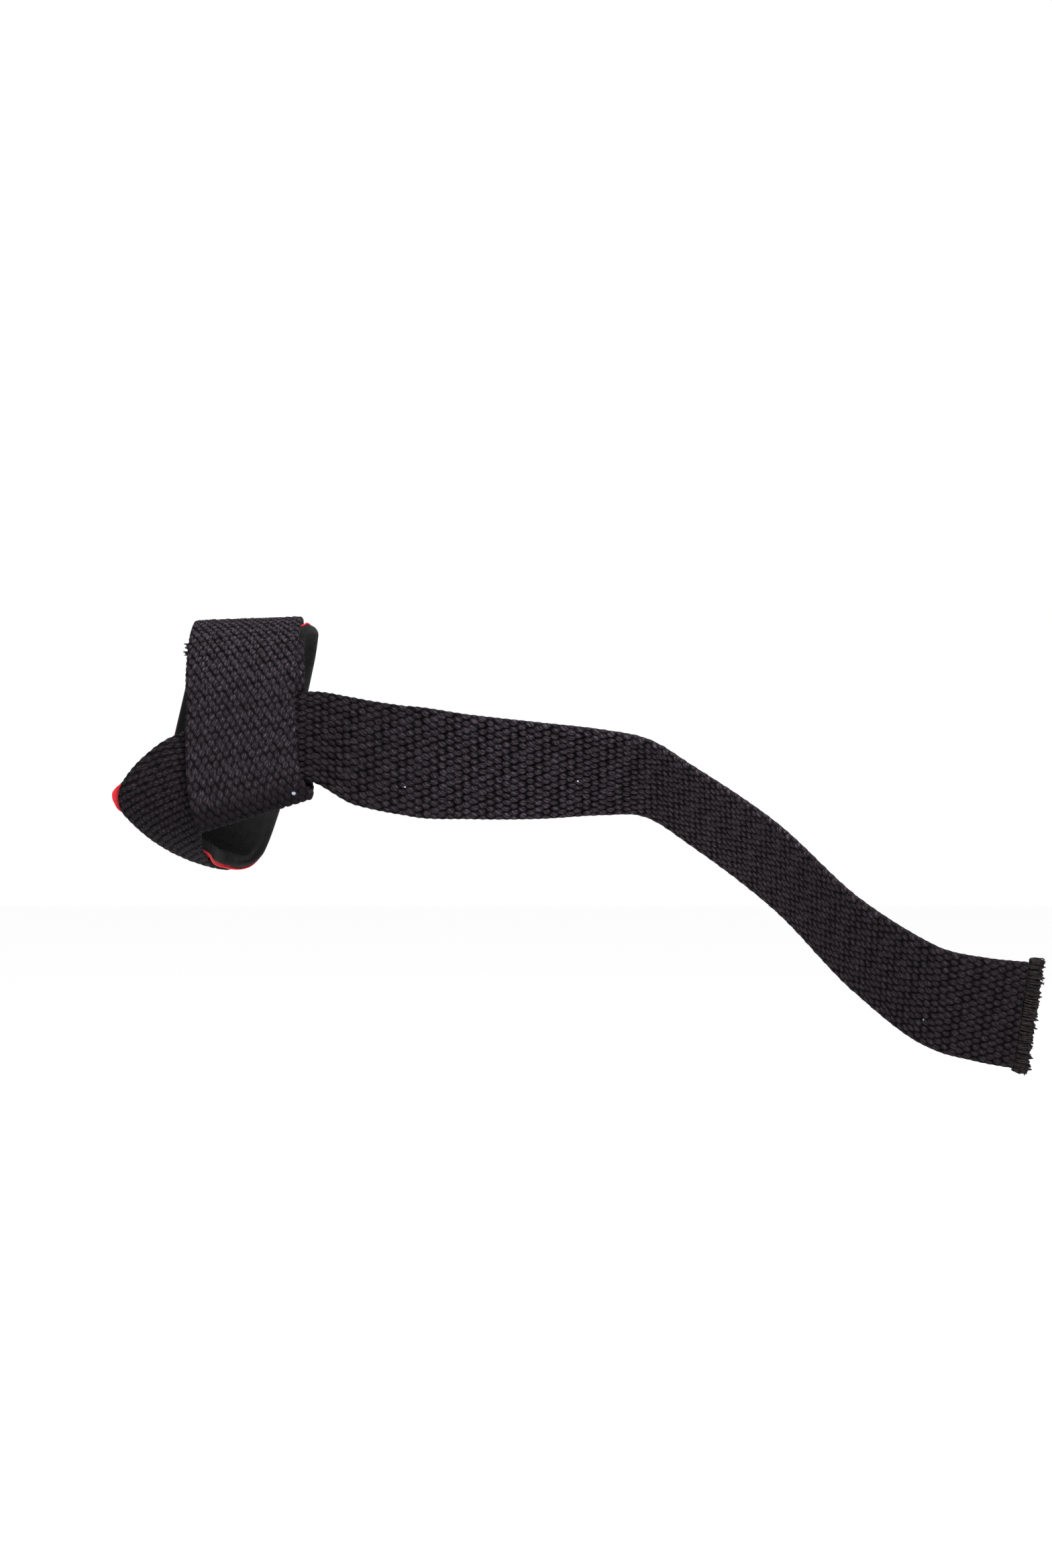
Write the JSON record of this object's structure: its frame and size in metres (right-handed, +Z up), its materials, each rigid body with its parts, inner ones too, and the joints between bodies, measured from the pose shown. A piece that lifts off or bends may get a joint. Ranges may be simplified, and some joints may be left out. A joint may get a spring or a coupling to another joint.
{
  "type": "padded lifting strap",
  "caption": "Cotton lifting strap with a sewn end loop, its free tail drawn through the loop, and a neoprene wrist pad with a red facing",
  "frame": {"origin": "middle of the main loop's hollow, where the wrist goes", "axes": "+X along the tail from the loop towards the free tip, +Y towards the back of the loop, +Z up"},
  "size_m": [0.3064, 0.1728, 0.1498],
  "materials": {
    "cotton_webbing": "matt, coarse plain-woven cotton, slightly fuzzy",
    "red_knit": "matt fine knit",
    "neoprene_foam": "matt closed-cell foam with a fine knit skin"
  },
  "bodies": {
    "root": {"strap_webbing": "cotton_webbing", "pad_facing": "red_knit", "pad_core": "neoprene_foam"}
  },
  "joints": []
}
